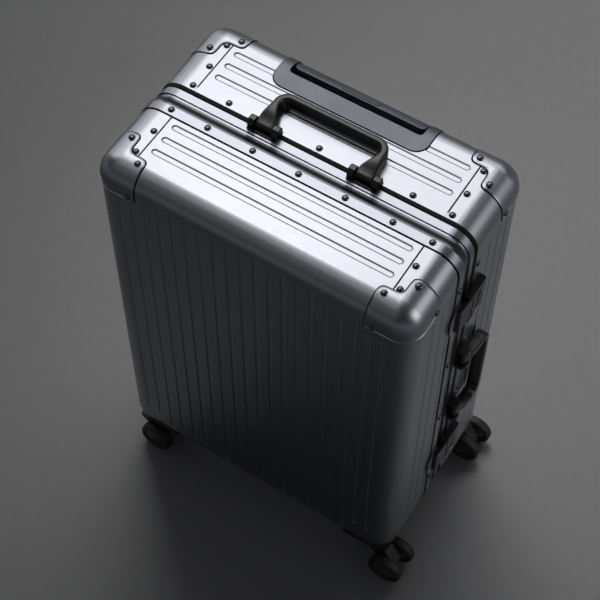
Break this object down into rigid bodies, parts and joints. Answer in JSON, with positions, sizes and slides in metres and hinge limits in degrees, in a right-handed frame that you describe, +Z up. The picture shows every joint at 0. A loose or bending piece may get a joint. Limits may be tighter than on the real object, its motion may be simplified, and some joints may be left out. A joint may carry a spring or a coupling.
{
  "type": "hard shell suitcase on wheels",
  "caption": "Hard-shell aluminium-frame suitcase with hinged halves, side latches, folding carry handles, telescopic trolley grip and swivel twin wheels.",
  "frame": {"origin": "on the floor under the middle of the bounding box", "axes": "+Z up, -Y the front face, +X the latch side with the side carry handle, -X the hinge side"},
  "size_m": [0.4766, 0.283, 0.7082],
  "materials": {
    "black_plastic": "fine texture",
    "button": "satin",
    "dial": "satin",
    "foot": "matt",
    "frame": "satin anodised extrusion",
    "grey_plastic": "fine texture",
    "handle": "satin black",
    "hinge": "plated",
    "latch": "satin dark grey",
    "lining": "plain woven lining",
    "sheet": "brushed anodised sheet",
    "strap": "woven webbing",
    "strip": "matt black sealing strip",
    "tube": "anodised tube",
    "tyre": "matt black"
  },
  "bodies": {
    "rear_half": {"rear_shell": "sheet", "rear_frame": "frame", "frame_strip": "strip", "rear_lining": "lining", "packing_straps": "strap", "trolley_tray": "grey_plastic", "trolley_sleeves": "tube", "trolley_base": "grey_plastic", "top_handle_brackets": "handle", "side_handle_brackets": "handle", "upper_latch_body": "latch", "lower_latch_body": "latch", "rear_hinge_leaves": "hinge", "rear_side_feet": "foot", "rear_wheel_housings": "black_plastic"},
    "front_half": {"front_shell": "sheet", "front_frame": "frame", "front_lining": "lining", "latch_keepers": "frame", "front_hinge_leaves": "hinge", "front_side_feet": "foot", "front_wheel_housings": "black_plastic"},
    "trolley_mid_stage": {"trolley_mid_tubes": "tube"},
    "trolley_pull_stage": {"trolley_inner_tubes": "tube", "trolley_grip": "grey_plastic"},
    "trolley_push_button": {"trolley_button": "button"},
    "top_carry_handle": {"top_handle": "handle"},
    "side_carry_handle": {"side_handle": "handle"},
    "upper_lever": {"upper_latch_lever": "latch"},
    "upper_dial_1": {"upper_latch_dial_1": "dial"},
    "upper_dial_2": {"upper_latch_dial_2": "dial"},
    "upper_dial_3": {"upper_latch_dial_3": "dial"},
    "upper_release": {"upper_latch_button": "button"},
    "lower_lever": {"lower_latch_lever": "latch"},
    "lower_dial_1": {"lower_latch_dial_1": "dial"},
    "lower_dial_2": {"lower_latch_dial_2": "dial"},
    "lower_dial_3": {"lower_latch_dial_3": "dial"},
    "lower_release": {"lower_latch_button": "button"},
    "front_left_caster": {"front_left_fork": "black_plastic"},
    "front_left_wheel_pair": {"front_left_wheels": "tyre"},
    "front_right_caster": {"front_right_fork": "black_plastic"},
    "front_right_wheel_pair": {"front_right_wheels": "tyre"},
    "rear_left_caster": {"rear_left_fork": "black_plastic"},
    "rear_left_wheel_pair": {"rear_left_wheels": "tyre"},
    "rear_right_caster": {"rear_right_fork": "black_plastic"},
    "rear_right_wheel_pair": {"rear_right_wheels": "tyre"}
  },
  "joints": [
    {"name": "lid_hinge", "type": "hinge", "parent": "rear_half", "child": "front_half", "pos_m": [-0.23375, -0.0015, 0.376], "axis": [0, 0, -1], "range_deg": [0, 150]},
    {"name": "trolley_mid_slide", "type": "slide", "parent": "rear_half", "child": "trolley_mid_stage", "axis": [0, 0, 1], "range_m": [0, 0.19]},
    {"name": "trolley_pull_slide", "type": "slide", "parent": "trolley_mid_stage", "child": "trolley_pull_stage", "axis": [0, 0, 1], "range_m": [0, 0.19]},
    {"name": "trolley_button_press", "type": "slide", "parent": "trolley_pull_stage", "child": "trolley_push_button", "axis": [0, 0, -1], "range_m": [0, 0.003], "stiffness_N_per_m": 600},
    {"name": "top_handle_fold", "type": "hinge", "parent": "rear_half", "child": "top_carry_handle", "pos_m": [-0.00775, 0.0111, 0.697], "axis": [1, 0, 0], "range_deg": [0, 95]},
    {"name": "side_handle_fold", "type": "hinge", "parent": "rear_half", "child": "side_carry_handle", "pos_m": [0.21925, 0.0111, 0.357], "axis": [0, 0, -1], "range_deg": [0, 95]},
    {"name": "upper_lever_swing", "type": "hinge", "parent": "rear_half", "child": "upper_lever", "pos_m": [0.21775, 0.0015, 0.559], "axis": [0, 0, 1], "range_deg": [0, 80]},
    {"name": "upper_dial_1_turn", "type": "hinge", "parent": "rear_half", "child": "upper_dial_1", "pos_m": [0.21815, 0.0185, 0.562], "axis": [0, 0, 1], "continuous": true},
    {"name": "upper_dial_2_turn", "type": "hinge", "parent": "rear_half", "child": "upper_dial_2", "pos_m": [0.21815, 0.0185, 0.567], "axis": [0, 0, 1], "continuous": true},
    {"name": "upper_dial_3_turn", "type": "hinge", "parent": "rear_half", "child": "upper_dial_3", "pos_m": [0.21815, 0.0185, 0.572], "axis": [0, 0, 1], "continuous": true},
    {"name": "upper_release_press", "type": "slide", "parent": "rear_half", "child": "upper_release", "axis": [-1, 0, 0], "range_m": [0, 0.002], "stiffness_N_per_m": 400},
    {"name": "lower_lever_swing", "type": "hinge", "parent": "rear_half", "child": "lower_lever", "pos_m": [0.21775, 0.0015, 0.185], "axis": [0, 0, 1], "range_deg": [0, 80]},
    {"name": "lower_dial_1_turn", "type": "hinge", "parent": "rear_half", "child": "lower_dial_1", "pos_m": [0.21815, 0.0185, 0.188], "axis": [0, 0, 1], "continuous": true},
    {"name": "lower_dial_2_turn", "type": "hinge", "parent": "rear_half", "child": "lower_dial_2", "pos_m": [0.21815, 0.0185, 0.193], "axis": [0, 0, 1], "continuous": true},
    {"name": "lower_dial_3_turn", "type": "hinge", "parent": "rear_half", "child": "lower_dial_3", "pos_m": [0.21815, 0.0185, 0.198], "axis": [0, 0, 1], "continuous": true},
    {"name": "lower_release_press", "type": "slide", "parent": "rear_half", "child": "lower_release", "axis": [-1, 0, 0], "range_m": [0, 0.002], "stiffness_N_per_m": 400},
    {"name": "front_left_swivel", "type": "hinge", "parent": "front_half", "child": "front_left_caster", "pos_m": [-0.20775, -0.116, 0.056], "axis": [0, 0, 1], "continuous": true},
    {"name": "front_left_roll", "type": "hinge", "parent": "front_left_caster", "child": "front_left_wheel_pair", "pos_m": [-0.18775, -0.116, 0.026], "axis": [0, 1, 0], "continuous": true},
    {"name": "front_right_swivel", "type": "hinge", "parent": "front_half", "child": "front_right_caster", "pos_m": [0.19225, -0.116, 0.056], "axis": [0, 0, 1], "continuous": true},
    {"name": "front_right_roll", "type": "hinge", "parent": "front_right_caster", "child": "front_right_wheel_pair", "pos_m": [0.21225, -0.116, 0.026], "axis": [0, 1, 0], "continuous": true},
    {"name": "rear_left_swivel", "type": "hinge", "parent": "rear_half", "child": "rear_left_caster", "pos_m": [-0.20775, 0.116, 0.056], "axis": [0, 0, 1], "continuous": true},
    {"name": "rear_left_roll", "type": "hinge", "parent": "rear_left_caster", "child": "rear_left_wheel_pair", "pos_m": [-0.18775, 0.116, 0.026], "axis": [0, 1, 0], "continuous": true},
    {"name": "rear_right_swivel", "type": "hinge", "parent": "rear_half", "child": "rear_right_caster", "pos_m": [0.19225, 0.116, 0.056], "axis": [0, 0, 1], "continuous": true},
    {"name": "rear_right_roll", "type": "hinge", "parent": "rear_right_caster", "child": "rear_right_wheel_pair", "pos_m": [0.21225, 0.116, 0.026], "axis": [0, 1, 0], "continuous": true}
  ]
}
